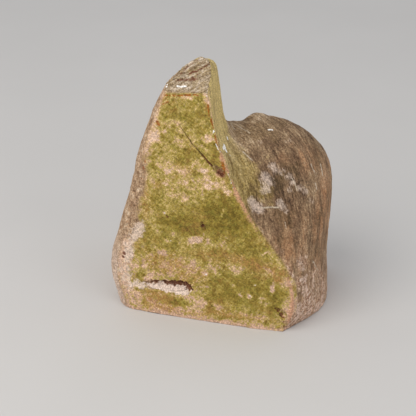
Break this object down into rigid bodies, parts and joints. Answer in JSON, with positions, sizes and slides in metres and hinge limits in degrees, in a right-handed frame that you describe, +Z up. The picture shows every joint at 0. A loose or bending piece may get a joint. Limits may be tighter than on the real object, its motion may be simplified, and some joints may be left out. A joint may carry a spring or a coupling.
{
  "type": "arch keystone",
  "caption": "Weathered sandstone arch block standing on its flat foot: mossy flat joint face, tall broken fin with a rounded crown beside it.",
  "frame": {"origin": "centre of the bounding box on the underside of the foot", "axes": "+Z up from the foot to the broken tip, -Y out of the mossy joint face, +X to the right of that face, towards the rounded crown"},
  "size_m": [0.3398, 0.23, 0.4236],
  "materials": {
    "weathered_sandstone": "rough open-grained sandstone, green algae on the joint face, dark weathered flank, bare pinkish arrises"
  },
  "bodies": {
    "root": {"keystone": "weathered_sandstone"}
  },
  "joints": []
}
